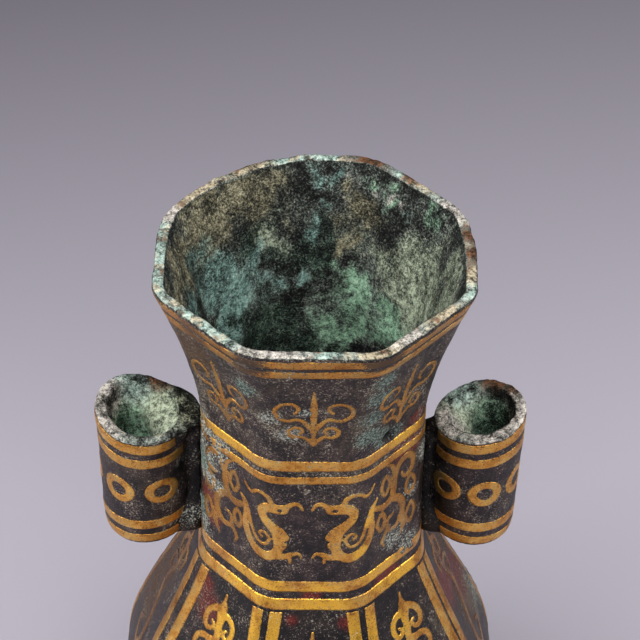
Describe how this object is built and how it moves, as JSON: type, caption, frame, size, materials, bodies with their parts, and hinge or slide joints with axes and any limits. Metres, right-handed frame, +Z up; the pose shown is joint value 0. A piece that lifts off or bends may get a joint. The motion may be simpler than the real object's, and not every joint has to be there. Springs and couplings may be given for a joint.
{
  "type": "hu vase",
  "caption": "Octagonal bronze hu vase with a flared mouth, pear-shaped belly, hollow foot and two tubular cord lugs, inlaid with flush gold bands, ring eyes, birds and scrolls.",
  "frame": {"origin": "centre of the foot's underside", "axes": "+Z up the vase's axis, the front facet with the pair of birds towards -Y, the lugs along X"},
  "size_m": [0.112, 0.112, 0.24],
  "materials": {
    "bronze": "cast bronze with a dark brown-black patina, green and pale mineral crusts and red patches",
    "base_bronze": "soldered cast bronze plate with a dull green-brown patina",
    "gold_inlay": "hammered sheet gold laid flush in grooves, worn and rubbed"
  },
  "bodies": {
    "root": {"back_bird_left": "gold_inlay", "back_bird_right": "gold_inlay", "base_plate": "base_bronze", "foot_band": "gold_inlay", "front_bird_left": "gold_inlay", "front_bird_right": "gold_inlay", "left_lug": "bronze", "left_lug_band_1": "gold_inlay", "left_lug_band_2": "gold_inlay", "left_lug_band_3": "gold_inlay", "left_lug_band_4": "gold_inlay", "left_lug_eye_1": "gold_inlay", "left_lug_eye_2": "gold_inlay", "left_lug_eye_3": "gold_inlay", "left_lug_eye_4": "gold_inlay", "left_lug_eye_5": "gold_inlay", "neck_band_lower": "gold_inlay", "neck_band_upper": "gold_inlay", "panel_frame_back": "gold_inlay", "panel_frame_back_left": "gold_inlay", "panel_frame_back_right": "gold_inlay", "panel_frame_front": "gold_inlay", "panel_frame_front_left": "gold_inlay", "panel_frame_front_right": "gold_inlay", "panel_frame_left": "gold_inlay", "panel_frame_right": "gold_inlay", "panel_scroll_back": "gold_inlay", "panel_scroll_back_left": "gold_inlay", "panel_scroll_back_right": "gold_inlay", "panel_scroll_front": "gold_inlay", "panel_scroll_front_left": "gold_inlay", "panel_scroll_front_right": "gold_inlay", "panel_scroll_left": "gold_inlay", "panel_scroll_right": "gold_inlay", "right_lug": "bronze", "right_lug_band_1": "gold_inlay", "right_lug_band_2": "gold_inlay", "right_lug_band_3": "gold_inlay", "right_lug_band_4": "gold_inlay", "right_lug_eye_1": "gold_inlay", "right_lug_eye_2": "gold_inlay", "right_lug_eye_3": "gold_inlay", "right_lug_eye_4": "gold_inlay", "right_lug_eye_5": "gold_inlay", "right_lug_eye_6": "gold_inlay", "rim_band_lower": "gold_inlay", "rim_band_upper": "gold_inlay", "shoulder_band_lower": "gold_inlay", "shoulder_band_upper": "gold_inlay", "vase_body": "bronze"}
  },
  "joints": []
}
